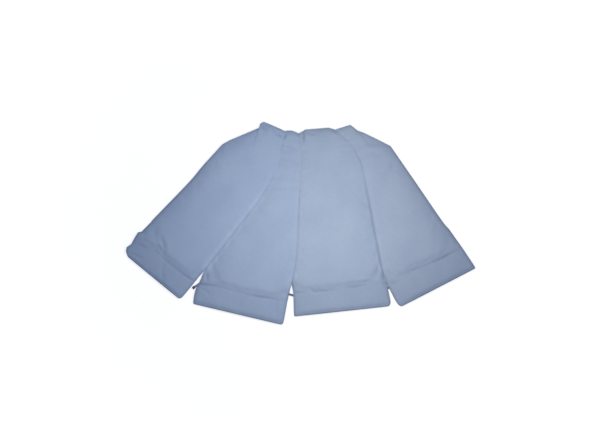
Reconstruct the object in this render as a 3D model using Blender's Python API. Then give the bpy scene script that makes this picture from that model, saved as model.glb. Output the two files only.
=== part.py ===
"""Four-pocket filter bag of non-woven polyester, laid out flat as a fan.

Each pocket is a front ply and a back ply, sewn together round three sides. Its wide end is the
mouth, where each ply is turned inside as a deep hem. Neighbouring pockets are sewn to each other
down their long edges, and short cord ties bridge the slits between their hems.
Units are metres. X runs across the fan, Y runs from the mouths to the narrow ends, Z is up.
"""
import math

import bmesh
import bpy
from mathutils import Vector

OBJECT_NAME = "bag_air_filter"

# The non-woven, pinched where it is sewn and lofty between
PLY_THICKNESS = 0.009
SEWN_THICKNESS = 0.0026
SEAM_ALLOWANCE = 0.004
LOFT_RUN = 0.038
PLY_CLEARANCE = 0.0003
SEAM_CLEARANCE = 0.0004

# The turned hem: two layers, with the stitched groove along its upper edge
HEM_THICKNESS = 0.0082
HEM_SIDE_THICKNESS = 0.0042
HEM_FOLD_SLIT = 0.0004
TURNED_EDGE_ALLOWANCE = 0.010
TURNED_EDGE_RAMP = 0.012
STITCH_DIP = 0.0026
STITCH_FLAT = 0.0016
STITCH_GROOVE = 0.0075
FOLD_STEPS = 4

# Thread and tie cords
THREAD_RADIUS = 0.0006
THREAD_CLEARANCE = 0.0003
TIE_RADIUS = 0.0028
TIE_CLEARANCE = 0.0003
KNOT_RADIUS = 0.0041
LOOSE_TIE_LENGTH = 0.028
LOOSE_TIE_SLOPE = (-0.56, -0.83)

# Where the two bridging ties leave the hem sides, below each side's hem line
TIE_2_3_ENDS = (-0.020, 0.004)
TIE_3_4_ENDS = (0.013, 0.013)

# How finely the sheets are divided
FIELD_ROWS = 6
CURVE_STEPS = 8
LOFT_STEPS = (0.012, 0.030)
NARROW_SHARE = (0.05, 0.16, 0.30)
HEM_ROWS = 3

# Seams from the narrow end down to where the slit or the hem begins
LEFT_SEAM = ((-0.241, 0.239), (-0.299, 0.175), (-0.342, 0.124), (-0.451, 0.011), (-0.486, -0.025))
SEAM_1_2 = ((-0.049, 0.281), (-0.070, 0.178), (-0.119, 0.084), (-0.189, -0.008), (-0.296, -0.145))
SEAM_2_3 = ((-0.007, 0.273), (0.002, 0.194), (-0.005, 0.072), (-0.013, -0.102), (-0.029, -0.186))
SEAM_3_4 = ((0.104, 0.285), (0.150, 0.239), (0.185, 0.178), (0.210, 0.056), (0.230, -0.050), (0.250, -0.153))
RIGHT_SEAM = ((0.274, 0.235), (0.350, 0.125), (0.428, 0.011), (0.452, -0.018))

# Where the cuff of pocket 1 stands out above its hem line
STEP_1_LEFT = ((-0.497, -0.027),)

# Hem sides from the hem line down to the mouth corner
HEM_1_LEFT = ((-0.506, -0.041), (-0.5175, -0.063), (-0.532, -0.0735), (-0.5335, -0.088), (-0.530, -0.101))
HEM_1_RIGHT = ((-0.324, -0.178), (-0.369, -0.233))
HEM_2_LEFT = ((-0.312, -0.184), (-0.3205, -0.199), (-0.3255, -0.218), (-0.3295, -0.2455))
HEM_2_RIGHT = ((-0.042, -0.239), (-0.055, -0.310))
HEM_3_LEFT = ((-0.023, -0.213), (-0.021, -0.284))
HEM_3_RIGHT = ((0.2615, -0.187), (0.2655, -0.201), (0.276, -0.252))
HEM_4_LEFT = ((0.2625, -0.187), (0.271, -0.201), (0.289, -0.236), (0.302, -0.256))
HEM_4_RIGHT = ((0.486, -0.066), (0.533, -0.131))

# Narrow ends between the seams' upper ends
NARROW_END_1 = ((-0.217, 0.252), (-0.127, 0.290), (-0.114, 0.308))
NARROW_END_2 = ((-0.028, 0.281),)
NARROW_END_3 = ((0.014, 0.284), (0.085, 0.290))
NARROW_END_4 = ((0.152, 0.299), (0.173, 0.282), (0.195, 0.274))

# Rounding of the mouth corners, left and right
MOUTH_CORNERS_1 = (0.006, 0.010)
MOUTH_CORNERS_2 = (0.003, 0.006)
MOUTH_CORNERS_3 = (0.003, 0.013)
MOUTH_CORNERS_4 = (0.010, 0.006)

# Where the two middle columns of each pocket run, as shares of its width, so that one of
# them meets the peak of the narrow end
MIDDLE_1 = (0.36, 0.675)
MIDDLE_2 = (0.40, 0.60)
MIDDLE_3 = (0.36, 0.64)
MIDDLE_4 = (0.268, 0.60)

FELT = ("polyester_felt", (0.40, 0.48, 0.62), 0.95)
THREAD = ("polyester_thread", (0.46, 0.53, 0.66), 0.70)
CORD = ("tie_cord", (0.13, 0.16, 0.26), 0.85)


def clear_scene():
    for old in list(bpy.data.objects):
        bpy.data.objects.remove(old, do_unlink=True)


def make_material(name, colour, roughness):
    material = bpy.data.materials.new(name)
    material.use_nodes = True
    shader = material.node_tree.nodes["Principled BSDF"]
    shader.inputs["Base Color"].default_value = (*colour, 1.0)
    shader.inputs["Roughness"].default_value = roughness
    shader.inputs["Metallic"].default_value = 0.0
    return material


def smooth_path(points):
    """A smooth curve through the points, as a dense list of places."""
    knots = [Vector(point) for point in points]
    knots = [2 * knots[0] - knots[1], *knots, 2 * knots[-1] - knots[-2]]
    places = [knots[1]]
    for before, start, end, after in zip(knots, knots[1:], knots[2:], knots[3:]):
        for step in range(1, CURVE_STEPS + 1):
            t = step / CURVE_STEPS
            bend_in = (end - before) / 2
            bend_out = (after - start) / 2
            place = (2 * t**3 - 3 * t**2 + 1) * start + (3 * t**2 - 2 * t**3) * end
            places.append(place + (t**3 - 2 * t**2 + t) * bend_in + (t**3 - t**2) * bend_out)
    return places


def path_length(path):
    return sum((end - start).length for start, end in zip(path, path[1:]))


def place_along(path, distance):
    """The place at a distance along the path, carried on past its ends in a straight line."""
    for start, end in zip(path, path[1:]):
        length = (end - start).length
        if distance <= length:
            return start + (end - start) * (distance / length)
        distance -= length
    return end + (end - start).normalized() * distance


def straight_path(points):
    return [Vector(point) for point in points]


def rows_beside_a_seam():
    """Distances from a sewn edge at which the ply's rise is sampled."""
    return [SEAM_ALLOWANCE] + [SEAM_ALLOWANCE + step for step in LOFT_STEPS]


def loft(distance):
    """How far the ply has risen to its full loft at a distance from a sewn edge, from 0 to 1."""
    run = min(max((distance - SEAM_ALLOWANCE) / LOFT_RUN, 0.0), 1.0)
    return math.sin(run * math.pi / 2)


class Side:
    """One long side of a pocket: the sewn seam, then the hem's side down to the mouth."""

    def __init__(self, seam, hem, step=()):
        self.seam = smooth_path(seam)
        self.approach = [self.seam[-1], *straight_path(step), Vector(hem[0])]
        self.hem = straight_path(hem)
        self.seam_length = path_length(self.seam)
        self.approach_length = path_length(self.approach)
        self.hem_length = path_length(self.hem)

    def seam_distances(self):
        """Rows close together at the narrow end, then even steps to the end of the seam."""
        near = [0.0, *rows_beside_a_seam()]
        rest = self.seam_length - near[-1]
        return near + [near[-1] + rest * step / FIELD_ROWS for step in range(1, FIELD_ROWS + 1)]

    def beside_hem_line(self, distance):
        """The side at a distance below the hem line, or above it where that is negative."""
        if distance < 0:
            return place_along(self.approach, self.approach_length + distance)
        return place_along(self.hem, distance)

    def in_hem(self, share):
        """The side at a share of the way from the stitch groove to the mouth corner."""
        return place_along(self.hem, STITCH_GROOVE + (self.hem_length - STITCH_GROOVE) * share)


class Pocket:
    """The plan of one pocket: where each row and column of its sheets lies."""

    def __init__(self, number, left, right, narrow_end, corners, middle):
        self.name = f"pocket_{number}"
        self.left = left
        self.right = right
        ends = [left.seam[0], *straight_path(narrow_end), right.seam[0]]
        self.narrow_end = ends
        self.narrow_length = path_length(ends)
        self.corners = corners
        self.middle = middle

    def columns(self, width):
        """Distances from the left side of one row, close together at both sewn edges."""
        near = [min(size, width * share) for size, share in zip(rows_beside_a_seam(), NARROW_SHARE)]
        inset = SEAM_CLEARANCE / 2
        start = [inset, *near]
        end = [width - distance for distance in reversed(start)]
        return start + [width * share for share in self.middle] + end

    def column_count(self):
        return len(self.columns(1.0))

    def seam_row_count(self):
        return len(self.left.seam_distances())

    def across(self, left_place, right_place, column):
        width = (right_place - left_place).length
        distance = self.columns(width)[column]
        place = left_place.lerp(right_place, distance / width)
        return place, distance, width - distance

    def seam_row(self, row, column):
        """A place in the sewn part, with its distances from the left, the right and the end."""
        down_left = self.left.seam_distances()[row]
        down_right = self.right.seam_distances()[row]
        left_place = place_along(self.left.seam, down_left)
        right_place = place_along(self.right.seam, down_right)
        place, from_left, from_right = self.across(left_place, right_place, column)
        first_left = self.left.seam[0]
        first_right = self.right.seam[0]
        share = from_left / (from_left + from_right)
        bulge = place_along(self.narrow_end, self.narrow_length * share) - first_left.lerp(first_right, share)
        down = down_left + (down_right - down_left) * share
        length = self.left.seam_length + (self.right.seam_length - self.left.seam_length) * share
        return place + bulge * (1 - down / length) ** 2, from_left, from_right, down

    def hem_line_row(self, distance, column):
        """A place at a distance below the hem line, or above it where that is negative."""
        left_place = self.left.beside_hem_line(distance)
        right_place = self.right.beside_hem_line(distance)
        return self.across(left_place, right_place, column)

    def hem_row(self, share, column):
        """A place in the hem, drawn back at the mouth where its corners are rounded."""
        left_place = self.left.in_hem(share)
        right_place = self.right.in_hem(share)
        place, from_left, from_right = self.across(left_place, right_place, column)
        if share == 1:
            above, _, _ = self.hem_row(1 - 1 / HEM_ROWS, column)
            drop = sum(corner_drop(radius, distance) for radius, distance
                       in zip(self.corners, (from_left, from_right)))
            place = place + (above - place).normalized() * drop
        return place, from_left, from_right


def corner_drop(radius, distance):
    """How far a rounded corner draws the mouth edge back at a distance from the side."""
    reach = max(radius - distance, 0.0)
    return radius - math.sqrt(radius**2 - reach**2)


def field_thickness(from_left, from_right, from_end):
    rise = loft(from_left) * loft(from_right) * loft(from_end)
    return SEWN_THICKNESS + (PLY_THICKNESS - SEWN_THICKNESS) * rise


def hem_thickness(from_left, from_right):
    rise = loft(from_left) * loft(from_right)
    return HEM_SIDE_THICKNESS + (HEM_THICKNESS - HEM_SIDE_THICKNESS) * rise


class Station:
    """One place on a ply: its plan and height on the outer face and on the inner face."""

    def __init__(self, plan, thickness, outer, inner, inner_plan=None):
        self.outer_plan = plan
        self.inner_plan = inner_plan or plan
        self.thickness = thickness
        self.outer = outer
        self.inner = inner


def dip_share(distance):
    """How much of the stitch groove's depth lies at a distance from the hem line."""
    run = (STITCH_GROOVE - abs(distance)) / (STITCH_GROOVE - STITCH_FLAT)
    return min(max(run, 0.0), 1.0)


def hem_layer(pocket, distance, column, turned):
    """A place on the hem's outer layer, or on the layer that is turned inside."""
    plan, from_left, from_right = pocket.hem_line_row(distance, column)
    thickness = hem_thickness(from_left, from_right)
    top = thickness - STITCH_DIP * dip_share(distance)
    if turned:
        return Station(plan, thickness, 0.0, (top - HEM_FOLD_SLIT) / 2)
    return Station(plan, thickness, top, (top + HEM_FOLD_SLIT) / 2)


def mouth_fold(centre, towards_mouth, thickness):
    """The half turn at the mouth, outside and inside."""
    outer_radius = thickness / 2
    inner_radius = HEM_FOLD_SLIT / 2
    stations = []
    for step in range(FOLD_STEPS + 1):
        angle = math.pi * step / FOLD_STEPS
        stations.append(Station(
            centre + towards_mouth * (outer_radius * math.sin(angle)), thickness,
            outer_radius + outer_radius * math.cos(angle),
            outer_radius + inner_radius * math.cos(angle),
            centre + towards_mouth * (inner_radius * math.sin(angle))))
    return stations


def ply_stations(pocket, column):
    """Down one column of a ply: the field, the hem, round the mouth fold and back inside."""
    stations = []
    for row in range(pocket.seam_row_count()):
        plan, from_left, from_right, from_end = pocket.seam_row(row, column)
        thickness = field_thickness(from_left, from_right, from_end)
        stations.append(Station(plan, thickness, thickness, 0.0))

    ramp_start = -TURNED_EDGE_ALLOWANCE - TURNED_EDGE_RAMP
    plan, from_left, from_right = pocket.hem_line_row(ramp_start, column)
    thickness = field_thickness(from_left, from_right, LOFT_RUN + SEAM_ALLOWANCE)
    stations.append(Station(plan, thickness, thickness, 0.0))

    ramp_end = -TURNED_EDGE_ALLOWANCE - STITCH_FLAT
    groove = (-STITCH_GROOVE, -STITCH_FLAT, STITCH_FLAT, STITCH_GROOVE)
    for distance in (ramp_end, *groove):
        stations.append(hem_layer(pocket, distance, column, turned=False))

    for row in range(1, HEM_ROWS):
        plan, from_left, from_right = pocket.hem_row(row / HEM_ROWS, column)
        thickness = hem_thickness(from_left, from_right)
        stations.append(Station(plan, thickness, thickness, (thickness + HEM_FOLD_SLIT) / 2))
    above = stations[-1].outer_plan
    mouth, from_left, from_right = pocket.hem_row(1, column)
    thickness = hem_thickness(from_left, from_right)
    towards_mouth = (mouth - above).normalized()
    centre = mouth - towards_mouth * (thickness / 2)
    stations += mouth_fold(centre, towards_mouth, thickness)

    for distance in (STITCH_GROOVE, STITCH_FLAT, -STITCH_FLAT, -TURNED_EDGE_ALLOWANCE):
        stations.append(hem_layer(pocket, distance, column, turned=True))
    return stations


def raise_front(plan, level, thickness):
    """Height of a level in the front ply, which lies on the back ply."""
    return Vector((plan.x, plan.y, thickness + PLY_CLEARANCE + level))


def raise_back(plan, level, thickness):
    """Height of a level in the back ply, which lies face down."""
    return Vector((plan.x, plan.y, thickness - level))


def make_ply(name, pocket, raise_point, material, collection):
    """A sheet folded at its mouth, with its real thickness between an outer and an inner face."""
    columns = [ply_stations(pocket, column) for column in range(pocket.column_count())]
    last_column = len(columns) - 1
    last_row = len(columns[0]) - 1
    sheet = bmesh.new()
    bmesh.ops.create_grid(sheet, x_segments=last_column, y_segments=last_row, size=0.5)
    outer_vertices = sheet.verts[:]
    extruded = bmesh.ops.extrude_face_region(sheet, geom=sheet.faces[:], use_keep_orig=True)
    inner_vertices = [item for item in extruded["geom"] if isinstance(item, bmesh.types.BMVert)]

    def station_of(vertex):
        column = round((vertex.co.x + 0.5) * last_column)
        row = round((vertex.co.y + 0.5) * last_row)
        return columns[column][row]

    for vertex in inner_vertices:
        station = station_of(vertex)
        vertex.co = raise_point(station.inner_plan, station.inner, station.thickness)
    for vertex in outer_vertices:
        station = station_of(vertex)
        vertex.co = raise_point(station.outer_plan, station.outer, station.thickness)
    bmesh.ops.recalc_face_normals(sheet, faces=sheet.faces[:])
    if sheet.calc_volume(signed=True) < 0:
        bmesh.ops.reverse_faces(sheet, faces=sheet.faces[:])
    bmesh.ops.triangulate(sheet, faces=sheet.faces[:], quad_method="SHORT_EDGE")
    mesh = bpy.data.meshes.new(name)
    sheet.to_mesh(mesh)
    sheet.free()
    mesh.shade_smooth()
    mesh.set_sharp_from_angle(angle=math.radians(60))
    ply = bpy.data.objects.new(name, mesh)
    ply.data.materials.append(material)
    collection.objects.link(ply)


def make_cord(name, places, radius, material, collection, swell=None, resolution=0):
    """A thread or cord: a poly curve with a round section and filled caps."""
    curve = bpy.data.curves.new(name, "CURVE")
    curve.dimensions = "3D"
    curve.bevel_depth = radius
    curve.bevel_resolution = resolution
    curve.use_fill_caps = True
    spline = curve.splines.new("POLY")
    spline.points.add(len(places) - 1)
    for index, place in enumerate(places):
        spline.points[index].co = (*place, 1.0)
        spline.points[index].radius = swell[index] if swell else 1.0
    cord = bpy.data.objects.new(name, curve)
    cord.data.materials.append(material)
    collection.objects.link(cord)


def hem_thread_places(pocket, raise_point):
    """Along the bottom of the stitch groove, from one seam allowance to the other."""
    places = []
    for column in range(1, pocket.column_count() - 1):
        plan, from_left, from_right = pocket.hem_line_row(0.0, column)
        thickness = hem_thickness(from_left, from_right)
        level = thickness - STITCH_DIP + THREAD_CLEARANCE + THREAD_RADIUS
        places.append(raise_point(plan, level, thickness))
    return places


def end_thread_places(pocket):
    """Along the pinched narrow end, midway over its seam allowance."""
    places = []
    for column in range(1, pocket.column_count() - 1):
        edge, _, _, _ = pocket.seam_row(0, column)
        allowance, _, _, _ = pocket.seam_row(1, column)
        places.append(over_sewn_edge(edge.lerp(allowance, 0.5)))
    return places


def over_sewn_edge(plan):
    """Just above the top of two plies that are pinched together."""
    top = 2 * SEWN_THICKNESS + PLY_CLEARANCE
    return Vector((plan.x, plan.y, top + THREAD_CLEARANCE + THREAD_RADIUS))


def seam_thread_places(side, inset):
    """Down a long seam, from below the narrow end's row to just short of the slit; inset is to the right."""
    rows = side.seam_distances()
    rows[2] += SEAM_ALLOWANCE
    rows[-1] -= SEAM_ALLOWANCE
    places = []
    for before, here, after in zip(rows[1:], rows[2:], rows[3:] + [rows[-1]]):
        along = place_along(side.seam, after) - place_along(side.seam, before)
        across = Vector((-along.y, along.x)).normalized()
        places.append(over_sewn_edge(place_along(side.seam, here) + across * inset))
    return places


def tie_place(plan):
    """The ties are sewn in where the two plies meet at a hem's side."""
    return Vector((plan.x, plan.y, HEM_SIDE_THICKNESS + PLY_CLEARANCE / 2))


def tie_root(side, distance, direction):
    """Where a tie's axis starts, so that its round end just clears the hem side."""
    edge = side.beside_hem_line(distance)
    along = (side.beside_hem_line(distance + TIE_RADIUS) - edge).normalized()
    slant = abs(along.dot(direction))
    setback = TIE_RADIUS * slant / math.sqrt(1 - slant**2)
    return edge + direction * (setback + TIE_CLEARANCE + SEAM_CLEARANCE / 2)


def bridging_tie_places(left_side, right_side, ends):
    """From the hem side on the left of a slit to the one on its right."""
    across = right_side.beside_hem_line(ends[1]) - left_side.beside_hem_line(ends[0])
    direction = across.normalized()
    start = tie_root(left_side, ends[0], direction)
    end = tie_root(right_side, ends[1], -direction)
    return [tie_place(start), tie_place(end)]


def loose_tie_places(side):
    """Square out of a hem side, then down the slit to a knot."""
    edge = side.beside_hem_line(-TIE_RADIUS)
    along = edge - side.beside_hem_line(-2 * TIE_RADIUS)
    root = tie_root(side, -TIE_RADIUS, Vector((along.y, -along.x)).normalized())
    bend = root + Vector((along.y, -along.x)).normalized() * (2 * TIE_RADIUS)
    slope = Vector(LOOSE_TIE_SLOPE).normalized()
    length = LOOSE_TIE_LENGTH - 2 * TIE_RADIUS
    knot_reach = [length - KNOT_RADIUS * share for share in (2.0, 1.6, 1.0, 0.4, 0.0)]
    places = [root, bend, *(bend + slope * reach for reach in knot_reach)]
    return [tie_place(place) for place in places]


def centre_on_origin(collection):
    """Bring the middle of the plan over the origin."""
    bpy.context.view_layer.update()
    corners = [ply.matrix_world @ Vector(corner) for ply in collection.objects for corner in ply.bound_box]
    middle_x = (min(corner.x for corner in corners) + max(corner.x for corner in corners)) / 2
    middle_y = (min(corner.y for corner in corners) + max(corner.y for corner in corners)) / 2
    for piece in collection.objects:
        piece.location = (-middle_x, -middle_y, 0.0)


def make_plies(pockets, material, collection):
    for pocket in pockets:
        make_ply(f"{pocket.name}_front_ply", pocket, raise_front, material, collection)
        make_ply(f"{pocket.name}_back_ply", pocket, raise_back, material, collection)


def make_threads(pockets, sides, material, collection):
    for pocket in pockets:
        rows = {
            "front_hem_thread": hem_thread_places(pocket, raise_front),
            "back_hem_thread": hem_thread_places(pocket, raise_back),
            "end_thread": end_thread_places(pocket),
        }
        for row, places in rows.items():
            make_cord(f"{pocket.name}_{row}", places, THREAD_RADIUS, material, collection)
    for name, (side, inset) in sides.items():
        make_cord(name, seam_thread_places(side, inset), THREAD_RADIUS, material, collection)


def make_ties(slits, material, collection):
    knot = KNOT_RADIUS / TIE_RADIUS
    swell = [1.0, 1.0, 1.0, 0.8 * knot, knot, 0.8 * knot, 0.3 * knot]
    make_cord("tie_1_2", loose_tie_places(slits[0][1]), TIE_RADIUS, material, collection, swell, 2)
    for name, slit, ends in (("tie_2_3", slits[1], TIE_2_3_ENDS), ("tie_3_4", slits[2], TIE_3_4_ENDS)):
        places = bridging_tie_places(*slit, ends)
        make_cord(name, places, TIE_RADIUS, material, collection, resolution=2)


def main():
    clear_scene()
    collection = bpy.data.collections.new(OBJECT_NAME)
    bpy.context.scene.collection.children.link(collection)
    felt = make_material(*FELT)
    thread = make_material(*THREAD)
    cord = make_material(*CORD)

    left_1, right_1 = Side(LEFT_SEAM, HEM_1_LEFT, STEP_1_LEFT), Side(SEAM_1_2, HEM_1_RIGHT)
    left_2, right_2 = Side(SEAM_1_2, HEM_2_LEFT), Side(SEAM_2_3, HEM_2_RIGHT)
    left_3, right_3 = Side(SEAM_2_3, HEM_3_LEFT), Side(SEAM_3_4, HEM_3_RIGHT)
    left_4, right_4 = Side(SEAM_3_4, HEM_4_LEFT), Side(RIGHT_SEAM, HEM_4_RIGHT)
    pockets = [
        Pocket(1, left_1, right_1, NARROW_END_1, MOUTH_CORNERS_1, MIDDLE_1),
        Pocket(2, left_2, right_2, NARROW_END_2, MOUTH_CORNERS_2, MIDDLE_2),
        Pocket(3, left_3, right_3, NARROW_END_3, MOUTH_CORNERS_3, MIDDLE_3),
        Pocket(4, left_4, right_4, NARROW_END_4, MOUTH_CORNERS_4, MIDDLE_4),
    ]
    inset = SEAM_ALLOWANCE / 2
    sides = {
        "left_edge_thread": (left_1, inset),
        "seam_1_2_thread": (right_1, 0.0),
        "seam_2_3_thread": (right_2, 0.0),
        "seam_3_4_thread": (right_3, 0.0),
        "right_edge_thread": (right_4, -inset),
    }
    make_plies(pockets, felt, collection)
    make_threads(pockets, sides, thread, collection)
    make_ties([(right_1, left_2), (right_2, left_3), (right_3, left_4)], cord, collection)
    centre_on_origin(collection)


main()
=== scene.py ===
"""The looks of a four-pocket filter bag that lies flat as a fan.

Lengths are in metres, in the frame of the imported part: X runs across the fan, Y runs from the
mouths to the narrow ends and Z is up. The plan's points repeat those of the part's source, but for
the last point of pocket 4's free hem side.
"""
import math
from collections import namedtuple

import bmesh
import bpy
import numpy as np
from mathutils import Matrix, Vector, noise


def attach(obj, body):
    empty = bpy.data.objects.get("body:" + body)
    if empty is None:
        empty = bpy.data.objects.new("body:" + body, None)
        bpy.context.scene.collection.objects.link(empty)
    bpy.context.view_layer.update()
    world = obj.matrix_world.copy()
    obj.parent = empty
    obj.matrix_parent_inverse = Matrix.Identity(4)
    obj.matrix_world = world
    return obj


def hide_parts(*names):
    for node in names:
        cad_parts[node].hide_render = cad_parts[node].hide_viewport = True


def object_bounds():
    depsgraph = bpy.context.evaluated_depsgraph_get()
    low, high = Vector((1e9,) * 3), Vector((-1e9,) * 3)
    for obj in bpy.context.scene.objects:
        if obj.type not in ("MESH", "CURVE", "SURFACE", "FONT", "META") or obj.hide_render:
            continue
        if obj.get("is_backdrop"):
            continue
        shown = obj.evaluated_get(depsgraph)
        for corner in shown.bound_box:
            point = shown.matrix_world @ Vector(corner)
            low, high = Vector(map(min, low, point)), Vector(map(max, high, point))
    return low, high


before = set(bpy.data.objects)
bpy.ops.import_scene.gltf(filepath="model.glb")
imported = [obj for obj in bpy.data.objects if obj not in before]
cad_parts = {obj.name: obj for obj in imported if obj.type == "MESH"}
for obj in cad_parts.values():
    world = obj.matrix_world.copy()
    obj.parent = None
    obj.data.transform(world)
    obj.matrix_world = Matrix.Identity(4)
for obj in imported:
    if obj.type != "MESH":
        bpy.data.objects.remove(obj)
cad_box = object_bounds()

MM = 0.001

# The felt, pinched where it is sewn and lofty between
PLY_THICKNESS = 9.0 * MM
SEWN_THICKNESS = 2.6 * MM
LEAST_THICKNESS = 0.6 * SEWN_THICKNESS
SEAM_ALLOWANCE = 4.0 * MM
LOFT_RUN = 80.0 * MM
PINCH_RUN = 5.0 * MM
PINCH_SHARE = 0.42
PLY_CLEARANCE = 0.3 * MM
SEAM_CLEARANCE = 0.08 * MM

# The turned hem: its line lies about as far below the seam's end as SEAM_TO_HEM says
SEAM_TO_HEM = 50.0 * MM
HEM_THICKNESS = 8.2 * MM
HEM_SIDE_THICKNESS = 4.2 * MM
HEM_FOLD_SLIT = 0.5 * MM
TURNED_EDGE = 10.0 * MM
TURNED_RAMP = 12.0 * MM
GROOVE_DEPTH = 2.1 * MM
GROOVE_WIDTH = 4.4 * MM
BACK_GROOVE_SHARE = 0.6
MOUTH_PINCH = 0.38
MOUTH_RUN = 8.0 * MM
# How far from the mouth edge shade is painted into the felt
MOUTH_SHADE_WIDTH = 2.4 * MM

# How dark the felt is painted, mostly painted shade with some pressing, from 0 where a highlight is
# painted to 1 at the mouth edge
AS_MADE = 0.2
HEM_SHADE_AND_PRESSURE = 0.3
CREASE_SHADE = 0.6
SEWN_SHADE_AND_PRESSURE = 0.68
FULL_CREASE = 3.0 * MM

# A seam edge rides a little over its neighbour as a soft rim, or dips beside it
RIM_PLACE = 5.0 * MM
RIM_WIDTH = 4.6 * MM
DIP_WIDTH = 4.2 * MM
EDGE_ROUND = 0.5 * MM
UPPER_ROUND = 0.3
EDGE_SWELL = 0.3

# Unevenness of the outer face: how high its bumps are, how broad, and how far from a seam they reach
SWELL = (0.7 * MM, 0.085)
RIPPLE = (0.30 * MM, 0.032)
PUCKERS = (1.2 * MM, 0.016, 0.020)
SEAM_WAVES = (0.5 * MM, 0.014, 0.012)
END_WAVES = (0.6 * MM, 0.012, 0.014)
END_WAVE_PLACE = 10.0 * MM
GATHER_SIZE = 0.07
GATHER_SPREAD = 1.6
STITCH_HOLLOW = 0.003
HELD_UNEVENNESS = 0.2

# The swell beside a fold: its place and width in widths of the fold, and its share of the depth
FOLD_SWELL_PLACE = 2.2
FOLD_SWELL_WIDTH = 1.4
FOLD_SWELL_SHARE = 0.35

# How unevenly the hem's stitches pull: the mean, the spread, the breadth of a change and the limits
PULL_MEAN = 0.65
PULL_SPREAD = 0.9
PULL_SIZE = 0.06
PULL_LIMITS = (0.15, 1.3)

# The front plies settle as slack cloth over their filling, held where they are sewn
SLACK = 0.014
SETTLE_FRAMES = 22
SETTLE_CAP = 2.4 * MM
CLOTH = {
    "quality": 6,
    "mass": 0.3,
    "tension_stiffness": 20.0,
    "compression_stiffness": 20.0,
    "shear_stiffness": 8.0,
    "bending_stiffness": 0.6,
    "shrink_min": -SLACK,
    "use_pressure": True,
    "uniform_pressure_force": 1.2,
}
HELD_ROWS = 1
HEM_STIFFNESS = 0.65
EDGE_STIFFNESS = 0.7
EDGE_STIFF_WIDTH = 28.0 * MM

# Stitches: zigzag down the long seams and across the narrow ends, straight along the hems
THREAD_RADIUS = 0.45 * MM
STITCH_SIDES = 6
STITCH_STEPS = 6
STITCH_TIP = 0.12
STITCH_RISE = 1.1
STITCH_SINK = 0.5
STITCH_LENGTH = 5.5 * MM
STITCH_GAP = 1.4 * MM
SEAM_PITCH = 0.9 * STITCH_LENGTH
SEAM_TURN = 0.6
END_TURN = 0.5
EDGE_SEAM_INSET = 2

# How finely the sheets are divided, closer together near the hem line and near the sides
COLUMNS = 56
EVENNESS = 0.45
SEAM_ROWS = 78
APPROACH_SHARES = (0.2, 0.4, 0.55, 0.65, 0.72, 0.79, 0.85, 0.9, 0.95, 1.0)
HEM_STRETCHES = ((0.0, 0.2, 8), (0.2, 0.8, 10), (0.8, 1.0, 9))
FOLD_STEPS = 10
CURVE_STEPS = 8

# Rows of the hem line, the turned felt's end and the slit's start, and those that give a direction
HEM_LINE_ROW = SEAM_ROWS + len(APPROACH_SHARES)
FIRST_TURNED_ROW = SEAM_ROWS + 5
FIRST_FREE_ROW = SEAM_ROWS + 6
HEM_DIRECTION_ROWS = 3
MOUTH_DIRECTION_ROWS = 8

# Edges are shaded smooth up to these angles, in degrees
FELT_SMOOTHING = 55
CORD_SMOOTHING = 60

# Seams from the narrow end down to where the slit or the hem begins
LEFT_SEAM = ((-0.241, 0.239), (-0.299, 0.175), (-0.342, 0.124), (-0.451, 0.011), (-0.486, -0.025))
SEAM_1_2 = ((-0.049, 0.281), (-0.070, 0.178), (-0.119, 0.084), (-0.189, -0.008), (-0.296, -0.145))
SEAM_2_3 = ((-0.007, 0.273), (0.002, 0.194), (-0.005, 0.072), (-0.013, -0.102), (-0.029, -0.186))
SEAM_3_4 = ((0.104, 0.285), (0.150, 0.239), (0.185, 0.178), (0.210, 0.056), (0.230, -0.050),
            (0.250, -0.153))
RIGHT_SEAM = ((0.274, 0.235), (0.350, 0.125), (0.428, 0.011), (0.452, -0.018))

# Where the cuff of pocket 1 stands out above its hem line
STEP_1_LEFT = ((-0.497, -0.027),)

# Hem sides from the hem line down to the mouth corner
HEM_1_LEFT = ((-0.506, -0.041), (-0.5175, -0.063), (-0.532, -0.0735), (-0.5335, -0.088),
              (-0.530, -0.101))
HEM_1_RIGHT = ((-0.324, -0.178), (-0.369, -0.233))
HEM_2_LEFT = ((-0.312, -0.184), (-0.3205, -0.199), (-0.3255, -0.218), (-0.3295, -0.2455))
HEM_2_RIGHT = ((-0.042, -0.239), (-0.055, -0.310))
HEM_3_LEFT = ((-0.023, -0.213), (-0.021, -0.284))
HEM_3_RIGHT = ((0.2615, -0.187), (0.2655, -0.201), (0.276, -0.252))
HEM_4_LEFT = ((0.2625, -0.187), (0.271, -0.201), (0.289, -0.236), (0.302, -0.256))
HEM_4_RIGHT = ((0.486, -0.066), (0.5335, -0.1365))

# Narrow ends between the seams' upper ends
NARROW_END_1 = ((-0.217, 0.252), (-0.127, 0.290), (-0.125, 0.303), (-0.114, 0.308))
NARROW_END_2 = ((-0.028, 0.281),)
NARROW_END_3 = ((0.014, 0.284), (0.085, 0.290))
NARROW_END_4 = ((0.152, 0.299), (0.173, 0.282), (0.195, 0.274))

# Each pocket's left side, right side and narrow end; a side is its seam, hem side, name and step
POCKETS = {
    1: ((LEFT_SEAM, HEM_1_LEFT, "edge", STEP_1_LEFT), (SEAM_1_2, HEM_1_RIGHT, "1_2"), NARROW_END_1),
    2: ((SEAM_1_2, HEM_2_LEFT, "1_2"), (SEAM_2_3, HEM_2_RIGHT, "2_3"), NARROW_END_2),
    3: ((SEAM_2_3, HEM_3_LEFT, "2_3"), (SEAM_3_4, HEM_3_RIGHT, "3_4"), NARROW_END_3),
    4: ((SEAM_3_4, HEM_4_LEFT, "3_4"), (RIGHT_SEAM, HEM_4_RIGHT, "edge"), NARROW_END_4),
}
LONG_SEAMS = ("left_edge", "seam_1_2", "seam_2_3", "seam_3_4", "right_edge")

# Rounding of the mouth corners, left and right, and how fast it fades up the hem
MOUTH_CORNERS = {1: (0.006, 0.010), 2: (0.003, 0.008), 3: (0.003, 0.013), 4: (0.010, 0.004)}
CORNER_FADE = 6

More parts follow.
